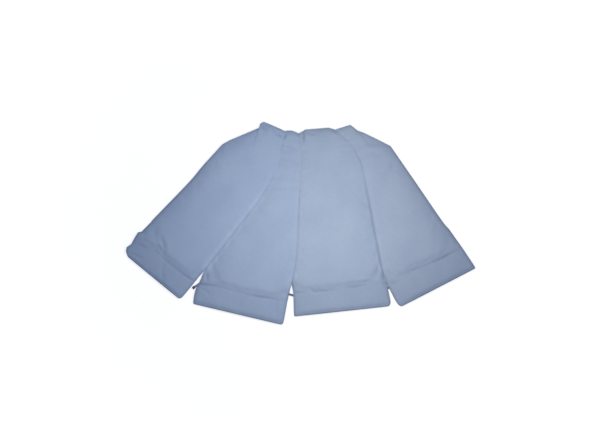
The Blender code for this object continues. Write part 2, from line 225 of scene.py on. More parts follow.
# From the plan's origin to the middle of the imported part
PLAN_SHIFT = (0.00117, 0.00050, 0.0)

# How high each pocket's left and right edges ride over their neighbours, or dip where negative
SEAM_RIMS = {1: (0.0, 0.0022), 2: (0.0006, -0.0006), 3: (0.0004, -0.0018), 4: (0.0018, 0.0)}

# How far each long seam draws the plies down above and below, where 1 is to the sewn thickness
SEAM_PINCH = {"edge": (1.0, 1.0), "1_2": (0.0, 0.30), "2_3": (0.0, 0.10), "3_4": (0.05, 0.28)}

# Where along each seam its upper state gives way to its lower one, as shares of its length
SEAM_CHANGE = (0.22, 0.58)

# How far above the hem line every side begins to be pinched down, and is fully pinched
SLIT_RAMP = (0.050, 0.018)

# How much shade is painted along each long seam, and how much highlight is painted beside it
SEAM_PAINTED_LIGHT = {"edge": (0.0, 0.0), "1_2": (0.0, 1.0), "2_3": (0.15, 0.3), "3_4": (0.42, 0.35)}
SEAM_SHADE_WIDTH = 4.2 * MM
SEAM_HIGHLIGHT_PLACE = 8.0 * MM
SEAM_HIGHLIGHT_WIDTH = 6.0 * MM

# How far the sewn hem line strays towards the mouth, at shares of the way across each pocket
DRIFT_REACH = 0.026
HEM_DRIFT = {
    1: ((0.0, 0.0), (0.35, -0.003), (0.62, 0.001), (0.85, 0.002), (1.0, 0.0)),
    2: ((0.0, 0.0), (0.2, -0.006), (0.38, -0.002), (0.57, 0.0025), (0.8, -0.001), (1.0, 0.0)),
    3: ((0.0, 0.0), (0.17, -0.002), (0.3, 0.001), (0.5, -0.002), (0.7, -0.004), (0.87, -0.008),
        (1.0, -0.003)),
    4: ((0.0, 0.001), (0.15, 0.005), (0.25, 0.004), (0.36, -0.002), (0.5, 0.002), (0.66, 0.007),
        (1.0, 0.009)),
}

# Folds pressed into each front ply: a line in the plan, then the fold's width and depth
FOLDS = {
    1: (
        (((-0.430, -0.035), (-0.419, -0.055), (-0.412, -0.078), (-0.420, -0.099)), 0.0042, 0.0030),
        (((-0.442, -0.062), (-0.430, -0.071), (-0.421, -0.090)), 0.0040, 0.0022),
        (((-0.420, -0.118), (-0.423, -0.150), (-0.420, -0.184)), 0.0045, 0.0014),
        (((-0.512, -0.062), (-0.488, -0.066), (-0.466, -0.080)), 0.0050, 0.0024),
        (((-0.524, -0.092), (-0.500, -0.098), (-0.480, -0.115)), 0.0045, 0.0020),
        (((-0.093, 0.284), (-0.072, 0.273), (-0.055, 0.259)), 0.0028, 0.0042),
        (((-0.119, 0.297), (-0.112, 0.282), (-0.117, 0.268)), 0.0030, 0.0022),
        (((-0.106, 0.300), (-0.105, 0.284), (-0.106, 0.266)), 0.0024, 0.0016),
    ),
    2: (
        (((-0.073, -0.238), (-0.075, -0.262), (-0.077, -0.288)), 0.0032, 0.0018),
        (((-0.291, -0.142), (-0.287, -0.158), (-0.288, -0.176)), 0.0045, 0.0028),
        (((-0.310, -0.196), (-0.290, -0.206), (-0.276, -0.222)), 0.0040, 0.0016),
        (((-0.053, 0.258), (-0.049, 0.264), (-0.045, 0.272)), 0.0026, 0.0034),
    ),
    3: (
        (((0.006, 0.286), (0.0075, 0.268), (0.0085, 0.244)), 0.0034, 0.0046),
        (((0.012, 0.275), (0.030, 0.270), (0.052, 0.268)), 0.0028, 0.0018),
        (((0.086, 0.288), (0.100, 0.280), (0.112, 0.268)), 0.0042, 0.0022),
        (((0.022, -0.199), (0.043, -0.209), (0.066, -0.203)), 0.0045, 0.0026),
        (((0.160, -0.172), (0.190, -0.170), (0.216, -0.169)), 0.0030, -0.0014),
        (((0.232, -0.128), (0.233, -0.144), (0.228, -0.158)), 0.0060, 0.0018),
        (((0.246, -0.166), (0.254, -0.180), (0.258, -0.196)), 0.0036, 0.0022),
    ),
    4: (
        (((0.285, -0.170), (0.330, -0.147), (0.396, -0.108)), 0.0030, 0.0012),
        (((0.274, -0.176), (0.282, -0.186), (0.296, -0.190)), 0.0040, 0.0018),
        (((0.158, 0.297), (0.166, 0.282), (0.178, 0.268)), 0.0035, 0.0016),
    ),
}

# Real sizes that set the patterns: fibres are drawn coarser than they are, so that they show
CLOUD_SIZE = 90.0 * MM
FIBRE_LENGTH = 9.0 * MM
FIBRE_WIDTH = 0.9 * MM
FIBRE_TURNS = (0.4, 1.5, 2.6)
THREAD_TWIST = 0.8 * MM
STRAND_FIBRE = 0.7 * MM
PLASTIC_IOR = 1.5
FELT_LIGHT = "#B5C4DF"
FELT_SHADE = "#AEBDDA"

# A painted tint of the bluer shade, from bluer on the left, 0, to greyer on the right, 1
SHADE_TINT = {1: 0.0, 2: 0.35, 3: 0.85, 4: 1.0}

# Ties: a cord plaited of three strands, with shade painted darker in its knot
TIE_RADIUS = 3.5 * MM
TIE_LIFT = 1.05
STRANDS = 3
STRAND_STEPS = 24
STRAND_RADIUS = 0.53 * TIE_RADIUS
STRAND_OFFSET = 0.50 * TIE_RADIUS
PLAIT_PITCH = 11.0 * MM
LOOSE_TIE_SEWN_IN = 5.0 * MM
LOOSE_TIE_REACH = (-0.0222, -0.0152)
KNOT_RADIUS = 5.1 * MM
KNOT_THREAD = 1.8 * MM
KNOT_STEPS = 48
KNOT_STRETCH = 2.2

# The bridging ties: where each end leaves its hem side, how thickly it is wound, and how dark it is
BRIDGING_TIES = {"tie_2_3": ((-0.0237, 0.0067), 1.05, 0.45), "tie_3_4": ((0.0095, 0.0095), 1.3, 0.3)}

# The photograph's frame: what one pixel measures on the bag, and where the plan's origin lies
PIXEL = 3.05 * MM
IMAGE_WIDTH = 600
IMAGE_HEIGHT = 424
PLAN_PIXEL_X = 301.0
PLAN_PIXEL_Y = 223.5
CAMERA_LENS = 85.0
CAMERA_SENSOR = 36.0

# Light: a plain cool level from all round, and one lamp close above the middle of the fan
WORLD_LIGHT = 0.41
WORLD_COLOUR = "#D7E6FF"
LAMP_COLOUR = "#FFF9ED"
LAMP_PLACE = (0.075, 0.010, 0.66)
LAMP_AIM = (0.075, 0.010, 0.0)
LAMP_SIZE = 0.34
LAMP_WATTS = 3.25
FLOOR_SIZE = 30.0
FLOOR_DROP = 0.3 * MM
FLOOR_SHARE = 0.45
FLOOR_GLOW_NEAR = 0.60
FLOOR_GLOW_FAR = 0.90
FLOOR_GLOW_REACH = 1.0


def linear_colour(code):
    """The linear colour of an sRGB hex value."""
    channels = [int(code[start:start + 2], 16) / 255 for start in (1, 3, 5)]
    return tuple(c / 12.92 if c <= 0.04045 else ((c + 0.055) / 1.055) ** 2.4 for c in channels) + (1.0,)


def smooth_path(points):
    """A smooth curve through the points, as a dense array of places."""
    knots = [np.array(point) for point in points]
    knots = [2 * knots[0] - knots[1], *knots, 2 * knots[-1] - knots[-2]]
    places = [knots[1]]
    for before, start, end, after in zip(knots, knots[1:], knots[2:], knots[3:]):
        for step in range(1, CURVE_STEPS + 1):
            t = step / CURVE_STEPS
            place = (2 * t**3 - 3 * t**2 + 1) * start + (3 * t**2 - 2 * t**3) * end
            bend_in = (t**3 - 2 * t**2 + t) * (end - before) / 2
            bend_out = (t**3 - t**2) * (after - start) / 2
            places.append(place + bend_in + bend_out)
    return np.array(places)


class Path:
    """A line in the plan that is read by distance, carried on straight past its ends."""

    def __init__(self, places):
        self.places = np.array(places, dtype=float)
        steps = np.linalg.norm(np.diff(self.places, axis=0), axis=1)
        self.reach = np.concatenate([[0.0], np.cumsum(steps)])
        self.length = self.reach[-1]

    def at(self, distance):
        distance = np.asarray(distance, dtype=float)
        inside = [np.interp(distance, self.reach, self.places[:, axis]) for axis in (0, 1)]
        end_direction = self.places[-1] - self.places[-2]
        end_direction = end_direction / np.linalg.norm(end_direction)
        beyond = np.maximum(distance - self.length, 0.0)
        return np.stack(inside, axis=-1) + beyond[..., None] * end_direction


class Side:
    """One long side of a pocket: the sewn seam, then the hem's side down to the mouth."""

    def __init__(self, seam, hem, name, step=()):
        self.seam = Path(smooth_path(seam))
        self.approach = Path([seam[-1], *step, hem[0]])
        self.hem = Path(hem)
        self.pinch = SEAM_PINCH[name]
        self.tone = SEAM_PAINTED_LIGHT[name]
        self.free = name == "edge"

    def beside_hem_line(self, distance):
        if distance < 0:
            return self.approach.at(self.approach.length + distance)
        return self.hem.at(distance)


class Pocket:
    """The plan of one pocket, and the rims, hem drift and folds that it has."""

    def __init__(self, number, left, right, narrow_end):
        self.number = number
        self.left = left
        self.right = right
        self.narrow_end = Path([left.seam.places[0], *narrow_end, right.seam.places[0]])
        self.corners = MOUTH_CORNERS[number]
        self.rims = SEAM_RIMS[number]
        self.hem_drift = np.array(HEM_DRIFT[number])
        self.folds = FOLDS[number]


def loft(distance):
    """How far the ply has risen to its full loft at a distance from a sewn edge, from 0 to 1."""
    pinched = 1 - np.exp(-np.maximum(distance - SEAM_ALLOWANCE / 2, 0.0) / PINCH_RUN)
    gentle = np.sin(np.clip(distance / LOFT_RUN, 0.0, 1.0) * math.pi / 2)
    return PINCH_SHARE * pinched + (1 - PINCH_SHARE) * gentle


def column_shares():
    """Shares of a pocket's width, closer together towards both sides."""
    even = np.linspace(0.0, 1.0, COLUMNS + 1)
    bunched = 0.5 - 0.5 * np.cos(math.pi * even)
    return EVENNESS * even + (1 - EVENNESS) * bunched


def across(left_places, right_places):
    """Rows of places between two sides, with the distance of each place from both."""
    shares = column_shares()
    width = np.linalg.norm(right_places - left_places, axis=1)
    inset = SEAM_CLEARANCE / 2 / width
    shares = inset[:, None] + shares[None, :] * (1 - 2 * inset[:, None])
    places = left_places[:, None] + (right_places - left_places)[:, None] * shares[..., None]
    return places, shares * width[:, None], (1 - shares) * width[:, None]


# A sheet's rows: the plan, distances from its edges and the hem line, and shares down the seam
Rows = namedtuple("Rows", "plan from_left from_right from_end down_seam below_hem_line from_mouth")


def directions(starts, ends):
    """Unit directions from each start to its end."""
    steps = ends - starts
    return steps / np.linalg.norm(steps, axis=-1, keepdims=True)


def corner_drop(radius, distance):
    """How far a rounded corner draws the mouth edge back at a distance from the side."""
    reach = np.clip(radius - distance, 0.0, radius)
    return radius - np.sqrt(radius**2 - reach**2)


def pocket_rows(pocket):
    """All rows of a pocket's plan, from its narrow end to its mouth."""
    left, right = pocket.left, pocket.right
    seam = np.linspace(0.0, 1.0, SEAM_ROWS + 1)
    approach = np.array(APPROACH_SHARES)
    hem = np.concatenate([np.linspace(start, end, count + 1)[1:] for start, end, count in HEM_STRETCHES])
    plan, from_left, from_right = across(*(
        np.concatenate([side.seam.at(seam * side.seam.length),
                        side.approach.at(approach * side.approach.length),
                        side.hem.at(hem * side.hem.length)]) for side in (left, right)))
    share = from_left / (from_left + from_right)

    def blend(left_values, right_values):
        return np.reshape(left_values, (-1, 1)) * (1 - share) + np.reshape(right_values, (-1, 1)) * share

    beyond_seam = np.concatenate([np.zeros(len(seam)), approach, np.ones(len(hem))])
    in_hem = np.concatenate([np.zeros(len(seam) + len(approach)), hem])
    along_seam = np.concatenate([seam, np.ones(len(approach) + len(hem))])
    down = blend(along_seam * left.seam.length, along_seam * right.seam.length)
    whole = blend(left.seam.length, right.seam.length)
    above_hem = blend((1 - along_seam) * left.seam.length + (1 - beyond_seam) * left.approach.length,
                      (1 - along_seam) * right.seam.length + (1 - beyond_seam) * right.approach.length)
    in_hem_distance = blend(in_hem * left.hem.length, in_hem * right.hem.length)
    hem_depth = blend(left.hem.length, right.hem.length)

    ends = np.stack([pocket.narrow_end.at(values * pocket.narrow_end.length) for values in share])
    straight_end = left.seam.places[0] * (1 - share)[..., None] + right.seam.places[0] * share[..., None]
    fade = np.where(along_seam[:, None] < 1, (1 - down / whole) ** 2, 0.0)
    plan = plan + (ends - straight_end) * fade[..., None]

    drop = corner_drop(pocket.corners[0], from_left) + corner_drop(pocket.corners[1], from_right)
    towards_end = directions(plan[-1], plan[-MOUTH_DIRECTION_ROWS])
    plan = plan + towards_end * (drop * in_hem[:, None] ** CORNER_FADE)[..., None]
    below_hem_line = in_hem_distance - above_hem

    above_line, below_line = HEM_LINE_ROW - HEM_DIRECTION_ROWS, HEM_LINE_ROW + HEM_DIRECTION_ROWS
    down_pocket = directions(plan[above_line], plan[below_line])
    drift = np.interp(share, pocket.hem_drift[:, 0], pocket.hem_drift[:, 1])
    plan = plan + down_pocket * (drift * near(below_hem_line, DRIFT_REACH))[..., None]
    from_end = down + beyond_seam[:, None] * SEAM_TO_HEM
    down_seam = np.broadcast_to(along_seam[:, None], share.shape)
    from_mouth = hem_depth - in_hem_distance
    return Rows(plan, from_left, from_right, from_end, down_seam, below_hem_line, from_mouth)


def along_line(places, line):
    """Each place's distance from a line in the plan, and how far along the line it is nearest."""
    best = np.full(places.shape[:-1], 1e9)
    travelled = np.zeros(places.shape[:-1])
    reach = 0.0
    for start, end in zip(line, line[1:]):
        step = end - start
        length = np.linalg.norm(step)
        share = np.clip(((places - start) @ step) / length**2, 0.0, 1.0)
        distance = np.linalg.norm(places - start - share[..., None] * step, axis=-1)
        nearer = distance < best
        best = np.where(nearer, distance, best)
        travelled = np.where(nearer, reach + share * length, travelled)
        reach += length
    return best, travelled / reach


def wander(places, size, seed):
    """Smooth unevenness over the plan, about -1 to 1, with bumps of about the given size."""
    flat = places.reshape(-1, places.shape[-1])
    shift = Vector((7.3, -3.1, 1.7)) * seed
    values = [noise.noise(Vector((x / size, y / size, 0.0)) + shift) for x, y in flat[:, :2]]
    return np.array(values).reshape(places.shape[:-1])


def near(distance, width):
    return np.exp(-(distance / width) ** 2)


def smooth_step(values, start, end):
    """From 0 at the start value to 1 at the end value, without corners."""
    share = np.clip((values - start) / (end - start), 0.0, 1.0)
    return share * share * (3 - 2 * share)


def creases(rows, pocket):
    """Each fold's nearness at every place, from 0 to 1, and the swell beside it, with its depth."""
    for line, width, depth in pocket.folds:
        distance, travelled = along_line(rows.plan, np.array(line))
        taper = np.sin(np.clip(travelled, 0.02, 0.98) * math.pi) ** 0.5
        swell = near(distance - FOLD_SWELL_PLACE * width, FOLD_SWELL_WIDTH * width)
        yield taper * near(distance, width), taper * swell, depth


def relief(rows, pocket):
    """What the front ply's outer face has beside its loft: rims, folds, puckers and unevenness."""
    seed = pocket.number
    free = loft(rows.from_left) * loft(rows.from_right)
    rise, size = SWELL
    height = rise * wander(rows.plan, size, seed)
    rise, size = RIPPLE
    height = height + rise * wander(rows.plan, size, seed + 10)
    height = height * (HELD_UNEVENNESS + (1 - HELD_UNEVENNESS) * free)
    for distance, rim in ((rows.from_left, pocket.rims[0]), (rows.from_right, pocket.rims[1])):
        shape = near(distance - RIM_PLACE, RIM_WIDTH) if rim > 0 else near(distance, DIP_WIDTH)
        lower = smooth_step(rows.down_seam, *SEAM_CHANGE)
        height = height + rim * shape * lower * (1 - hem_share(rows))
        rounding = UPPER_ROUND + (1 - UPPER_ROUND) * lower
        height = height - EDGE_ROUND * rounding * np.exp(-distance / EDGE_ROUND)
    gathered = 0.5 + GATHER_SPREAD * wander(rows.plan, GATHER_SIZE, seed + 50)
    gathered = np.clip(gathered, 0.0, 1.0)
    rise, size, reach = PUCKERS
    puckers = wander(rows.plan, size, seed + 20) * near(rows.below_hem_line, reach)
    height = height + rise * gathered * puckers * (1 - near(rows.below_hem_line, STITCH_HOLLOW))
    rise, size, reach = SEAM_WAVES
    beside_seam = np.minimum(rows.from_left, rows.from_right)
    height = height + rise * wander(rows.plan, size, seed + 30) * near(beside_seam - reach, reach)
    rise, size, reach = END_WAVES
    end_waves = wander(rows.plan, size, seed + 40) * near(rows.from_end - END_WAVE_PLACE, reach)
    height = height + rise * end_waves
    for hollow, swell, depth in creases(rows, pocket):
        height = height - depth * hollow + FOLD_SWELL_SHARE * depth * swell
    return height


def find_painted_light_and_pressure(rows, pocket, pull, face_up):
    """Painted shade and highlight, with some pressing of the felt, at every place, on the scale of the
    material.
    """
    lower = smooth_step(rows.down_seam, *SEAM_CHANGE) * (1 - hem_share(rows))
    # Shade painted with some pressing: the hem band and the pinched seam edges
    painted_light_and_pressure = HEM_SHADE_AND_PRESSURE * SEWN_SHADE_AND_PRESSURE * hem_share(rows)
    drawn = np.zeros(lower.shape)
    for distance, side in ((rows.from_left, pocket.left), (rows.from_right, pocket.right)):
        seam_shade, seam_highlight = side.tone
        painted_light_and_pressure = np.maximum(painted_light_and_pressure, SEWN_SHADE_AND_PRESSURE * (1 - beside(distance, side, rows)) ** 2)
        # Shade painted along the seam, and a highlight painted beside it, where drawn stands for the
        # painted highlight
        painted_light_and_pressure = np.maximum(painted_light_and_pressure, seam_shade * lower * near(distance, SEAM_SHADE_WIDTH))
        drawn = np.maximum(drawn, seam_highlight * lower * near(distance - SEAM_HIGHLIGHT_PLACE, SEAM_HIGHLIGHT_WIDTH))
    # Shade painted into the hem groove, with some pressing
    painted_light_and_pressure = np.maximum(painted_light_and_pressure, SEWN_SHADE_AND_PRESSURE * pull * near(rows.below_hem_line, GROOVE_WIDTH))
    # Shade painted along the mouth edge, under the rounded fold
    painted_light_and_pressure = np.maximum(painted_light_and_pressure, near(rows.from_mouth, MOUTH_SHADE_WIDTH))
    if face_up:
        # Shade painted into the hollows of the creases
        for hollow, swell, depth in creases(rows, pocket):
            painted_light_and_pressure = np.maximum(painted_light_and_pressure, CREASE_SHADE * np.clip(depth / FULL_CREASE, 0.0, 1.0) * hollow**2)
    return np.clip(AS_MADE + (1 - AS_MADE) * painted_light_and_pressure - AS_MADE * drawn, 0.0, 1.0)


def beside(distance, side, rows):
    """How far the ply has risen beside one side, which is pinched down at the slit and the hem."""
    upper, lower = side.pinch
    pinch = upper + (lower - upper) * smooth_step(rows.down_seam, *SEAM_CHANGE)
    pinch = pinch + (1 - pinch) * smooth_step(rows.below_hem_line, -SLIT_RAMP[0], -SLIT_RAMP[1])
    return 1 - pinch * (1 - loft(distance))


def ply_thickness(rows, pocket):
    """The ply's thickness: lofty in the field, and its two pressed layers in the hem."""
    sides = beside(rows.from_left, pocket.left, rows) * beside(rows.from_right, pocket.right, rows)
    field = SEWN_THICKNESS + (PLY_THICKNESS - SEWN_THICKNESS) * sides * loft(rows.from_end)
    hem = HEM_SIDE_THICKNESS + (HEM_THICKNESS - HEM_SIDE_THICKNESS) * sides
    hem = hem * (1 - MOUTH_PINCH * near(rows.from_mouth, MOUTH_RUN))
    into_hem = hem_share(rows)
    return field * (1 - into_hem) + hem * into_hem


def hem_share(rows):
    """From 0 in the field to 1 where the turned layer lies under the outer one."""
    return smooth_step(rows.below_hem_line, -TURNED_EDGE - TURNED_RAMP, -TURNED_EDGE)


def stack(plan, height):
    return np.concatenate([plan, height[..., None]], axis=-1)


def settle(name, places):
    """How far a grid of places rises or sinks as it settles as cloth that is larger than its frame."""
    row_count, column_count = places.shape[:2]
    start = np.arange((row_count - 1) * column_count).reshape(-1, column_count)[:, :-1].ravel()
    faces = np.column_stack([start, start + column_count, start + column_count + 1, start + 1])
    cloth = new_object(name, new_mesh(name, places.reshape(-1, 3), faces.tolist()))
    held = np.zeros((row_count, column_count), dtype=bool)
    held[:, (0, -1)] = True
    held[(0, -2, -1), :] = True
    held[HEM_LINE_ROW - HELD_ROWS:HEM_LINE_ROW + HELD_ROWS + 1, :] = True
    sewn = cloth.vertex_groups.new(name="sewn")
    sewn.add(np.flatnonzero(held.ravel()).tolist(), 1.0, "REPLACE")
    modifier = cloth.modifiers.new("settle", "CLOTH")
    modifier.settings.vertex_group_mass = "sewn"
    for setting, value in CLOTH.items():
        setattr(modifier.settings, setting, value)
    modifier.settings.effector_weights.gravity = 0.0
    modifier.collision_settings.use_collision = False
    scene = bpy.context.scene
    for step in range(1, SETTLE_FRAMES + 1):
        scene.frame_set(step)
    settled = cloth.evaluated_get(bpy.context.evaluated_depsgraph_get())
    found = np.empty(row_count * column_count * 3)
    settled.data.vertices.foreach_get("co", found)
    rise = found.reshape(row_count, column_count, 3)[..., 2] - places[..., 2]
    bpy.data.objects.remove(cloth, do_unlink=True)
    scene.frame_set(1)
    return SETTLE_CAP * np.tanh(rise / SETTLE_CAP)


class Sheet:
    """A folded ply as two faces, outer and inner, each a grid of places."""

    def __init__(self, pocket, face_up):
        rows = pocket_rows(pocket)
        self.tint_and_shade = SHADE_TINT[pocket.number]
        thickness = ply_thickness(rows, pocket)
        pull = PULL_MEAN + PULL_SPREAD * wander(rows.plan, PULL_SIZE, 60 + pocket.number)
        pull = np.clip(pull, *PULL_LIMITS)
        groove = GROOVE_DEPTH * near(rows.below_hem_line, GROOVE_WIDTH)
        if face_up:
            height = thickness - pull * groove + relief(rows, pocket)
            height = np.maximum(height, LEAST_THICKNESS)
            rise = settle(f"pocket_{pocket.number}_cloth", stack(rows.plan, height))
            for distance, side in ((rows.from_left, pocket.left), (rows.from_right, pocket.right)):
                if side.free:
                    rise = rise * (1 - EDGE_STIFFNESS * near(distance, EDGE_STIFF_WIDTH))
            height = height + rise * (1 - HEM_STIFFNESS * hem_share(rows))
        else:
            height = thickness - BACK_GROOVE_SHARE * groove
        base = thickness + PLY_CLEARANCE if face_up else thickness
        way = 1.0 if face_up else -1.0
        into_hem = hem_share(rows)

        plan = rows.plan.copy()
        towards_mouth = directions(plan[-MOUTH_DIRECTION_ROWS], plan[-1])
        into_fold = np.clip(rows.below_hem_line / (rows.below_hem_line + rows.from_mouth), 0.0, 1.0) ** 2
        plan -= towards_mouth[None] * (into_fold * height[-1][None] / 2)[..., None]

        outer = [stack(plan, base + way * height)]
        inner = [stack(plan, base + way * into_hem * (height + HEM_FOLD_SLIT) / 2)]
        centre, half, slit = plan[-1], height[-1] / 2, HEM_FOLD_SLIT / 2
        for step in range(1, FOLD_STEPS):
            angle = math.pi * step / FOLD_STEPS
            bend = towards_mouth * math.sin(angle)
            rise = base[-1] + way * half * (1 + math.cos(angle))
            outer.append(stack(centre + bend * half[:, None], rise)[None])
            rise = base[-1] + way * (half + slit * math.cos(angle))
            inner.append(stack(centre + bend * slit, rise)[None])
        turned = slice(len(plan) - 1, FIRST_TURNED_ROW - 1, -1)
        outer.append(stack(plan, base)[turned])
        inner.append(stack(plan, base + way * (height - HEM_FOLD_SLIT) / 2)[turned])
        self.outer = np.concatenate(outer)
        self.inner = np.concatenate(inner)
        self.top = stack(plan, base + way * height)
        self.left_free = self.freedom(rows, pocket.left, turned)
        self.right_free = self.freedom(rows, pocket.right, turned)
        painted_light_and_pressure = find_painted_light_and_pressure(rows, pocket, pull, face_up)
        fold = np.repeat(painted_light_and_pressure[-1:], FOLD_STEPS - 1, axis=0)
        self.painted_light_and_pressure = np.concatenate([painted_light_and_pressure, fold, painted_light_and_pressure[turned]])

    @staticmethod
    def freedom(rows, side, turned):
        """Where a side stands free, from 0 at a shared seam to 1, for each row of the sheet."""
        along = np.full(len(rows.plan), 1.0 if side.free else 0.0)
        along[FIRST_FREE_ROW:] = 1.0
        return np.concatenate([along, np.ones(FOLD_STEPS - 1), along[turned]])


def new_object(name, data):
    holder = bpy.data.objects.new(name, data)
    bpy.context.scene.collection.objects.link(holder)
    return holder


def new_mesh(name, places, faces):
    mesh = bpy.data.meshes.new(name)
    mesh.from_pydata(places.tolist(), [], faces)
    return mesh


def give_values(mesh, name, values):
    """Give a mesh's points a value each, which its material reads by name."""
    mesh.attributes.new(name, "FLOAT", "POINT").data.foreach_set("value", values)


def make_piece(name, mesh, material, node, smoothing):
    """Dress a piece, let it stand for its node and tie it to the body."""
    piece = new_object(name, mesh)
    piece.data.materials.append(material)
    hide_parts(node)
    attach(piece, "root")
    bpy.ops.object.select_all(action="DESELECT")
    bpy.context.view_layer.objects.active = piece
    piece.select_set(True)
    bpy.ops.object.shade_smooth_by_angle(angle=math.radians(smoothing))
    piece.select_set(False)
    return piece


def sheet_mesh(name, sheet):
    """The closed skin of a ply: rings of outer face, right edge, inner face and left edge."""
    row_count, column_count = sheet.outer.shape[:2]
    rings = []
    for row in range(row_count):
        outer, inner = sheet.outer[row], sheet.inner[row]
        rings.append(np.concatenate([
            outer, edge_middle(outer[-1], inner[-1], outer[-2], sheet.right_free[row])[None],
            inner[::-1], edge_middle(outer[0], inner[0], outer[1], sheet.left_free[row])[None]]))
    places = np.concatenate(rings) + PLAN_SHIFT
    ring = 2 * column_count + 2
    faces = []
    for row in range(row_count - 1):
        for step in range(ring):
            here, there = row * ring, (row + 1) * ring
            following = (step + 1) % ring
            faces.append((here + step, here + following, there + following, there + step))
    cap = [(step, step + 1, ring - 3 - step, ring - 2 - step) for step in range(column_count - 1)]
    cap += [(column_count - 1, column_count, column_count + 1), (0, ring - 2, ring - 1)]
    last = (row_count - 1) * ring
    faces += [face[::-1] for face in cap]
    faces += [tuple(last + corner for corner in face) for face in cap]
    mesh = new_mesh(name, places, faces)
    painted_light_and_pressure = [np.concatenate([row, row[-1:], row[::-1], row[:1]]) for row in sheet.painted_light_and_pressure]
    give_values(mesh, "painted_light_and_pressure", np.concatenate(painted_light_and_pressure))
    give_values(mesh, "tint_and_shade", [sheet.tint_and_shade] * len(places))
    return mesh


def edge_middle(outer, inner, neighbour, freedom):
    """The middle of a cut edge, which swells a little where it stands free."""
    middle = (outer + inner) / 2
    outward = outer - neighbour
    outward[2] = 0.0
    outward = outward / max(np.linalg.norm(outward), 1e-9)
    return middle + outward * freedom * EDGE_SWELL * abs(outer[2] - inner[2])


def face_outwards(mesh):
    """Turn a closed mesh whose faces point inwards."""
    mesh.calc_loop_triangles()
    points = [vertex.co for vertex in mesh.vertices]
    volume = sum(points[t.vertices[0]].dot(points[t.vertices[1]].cross(points[t.vertices[2]]))
                 for t in mesh.loop_triangles)
    if volume < 0:
        mesh.flip_normals()


def make_ply(pocket, side, material):
    """One ply of a pocket, with its hem's second layer."""
    sheet = Sheet(pocket, face_up=side == "front")
    name = f"pocket_{pocket.number}_{side}_felt"
    mesh = sheet_mesh(name, sheet)
    face_outwards(mesh)
    piece = make_piece(name, mesh, material, f"pocket_{pocket.number}_{side}_ply",
                       FELT_SMOOTHING)
    steps = np.linalg.norm(np.diff(sheet.top[:, :, :2], axis=0), axis=-1).sum(axis=0)
    return sheet


def stitch_shape(length, radius):
    """One stitch: a short rod with rounded ends that dips into the cloth at both ends."""
    around, along = STITCH_SIDES, STITCH_STEPS
    places, faces = [], []
    for step in range(along + 1):
        share = step / along
        swell = math.sin(math.pi * (STITCH_TIP + (1 - 2 * STITCH_TIP) * share)) ** 0.6
        rise = radius * STITCH_RISE * math.sin(math.pi * share) - radius * STITCH_SINK
        for corner in range(around):
            angle = 2 * math.pi * corner / around
            places.append(((share - 0.5) * length, radius * swell * math.cos(angle),
                           rise + radius * swell * math.sin(angle)))
    for step in range(along):
        for corner in range(around):
            following = (corner + 1) % around
            here, there = step * around, (step + 1) * around
            faces.append((here + corner, there + corner, there + following, here + following))
    faces.append(tuple(range(around)))
    faces.append(tuple(along * around + corner for corner in reversed(range(around))))
    return np.array(places), faces


def stitch_row(name, line, turn, pitch, material):
    """Stitches laid one after another down a line, turned to and fro by an angle from it."""
    path = Path(line[:, :2])
    shape, shape_faces = stitch_shape(STITCH_LENGTH, THREAD_RADIUS)
    count = max(int(path.length / pitch), 1)
    places, faces = [], []
    for index in range(count):
        middle = (index + 0.5) * path.length / count
        reach = np.array([middle - STITCH_LENGTH / 2, middle + STITCH_LENGTH / 2])
        back, ahead = path.at(reach)
        low, high = np.interp(reach, path.reach, line[:, 2])
        angle = math.atan2(*(ahead - back)[::-1]) + turn * (1 if index % 2 else -1)
        along = np.array([math.cos(angle), math.sin(angle)])
        aside = np.array([-along[1], along[0]])
        flat = path.at(middle) + shape[:, :1] * along + shape[:, 1:2] * aside
        slope = (high - low) / STITCH_LENGTH * math.cos(turn)
        rise = (low + high) / 2 + shape[:, 0] * slope + shape[:, 2]
        faces += [tuple(corner + index * len(shape) for corner in face) for face in shape_faces]
        places.append(np.column_stack([flat, rise]))
    mesh = new_mesh(name + "_stitches", np.concatenate(places) + PLAN_SHIFT, faces)
    face_outwards(mesh)
    make_piece(name + "_stitches", mesh, material, name + "_thread", CORD_SMOOTHING)


def tubes(name, lines, radius):
    """Round tubes of one radius along several lines, as one mesh."""
    curve = bpy.data.curves.new(name, "CURVE")
    curve.dimensions = "3D"
    curve.bevel_depth = radius
    curve.bevel_resolution = 3
    curve.use_fill_caps = True
    for line, cyclic in lines:
        spline = curve.splines.new("POLY")
        spline.points.add(len(line) - 1)
        spline.use_cyclic_u = cyclic
        for point, place in zip(spline.points, line):
            point.co = (place[0] + PLAN_SHIFT[0], place[1] + PLAN_SHIFT[1], place[2], 1.0)
    drawn = new_object(name + "_line", curve)
    shown = bpy.context.evaluated_depsgraph_get()
    mesh = bpy.data.meshes.new_from_object(drawn.evaluated_get(shown))
    bpy.data.objects.remove(drawn, do_unlink=True)
    return mesh


def plaited_strands(start, end, swell=1.0):
    """The middle lines of a cord's strands, which wind round the line from start to end."""
    along = (end - start).normalized()
    side = along.cross(Vector((0.0, 0.0, 1.0))).normalized()
    upward = side.cross(along)
    length = (end - start).length
    lines = []
    for strand in range(STRANDS):
        line = []
        for step in range(STRAND_STEPS + 1):
            share = step / STRAND_STEPS
            angle = 2 * math.pi * (share * length / PLAIT_PITCH + strand / STRANDS)
            offset = side * math.cos(angle) + upward * math.sin(angle)
            line.append(start + along * length * share + offset * STRAND_OFFSET * swell)
        lines.append((line, False))
    return lines


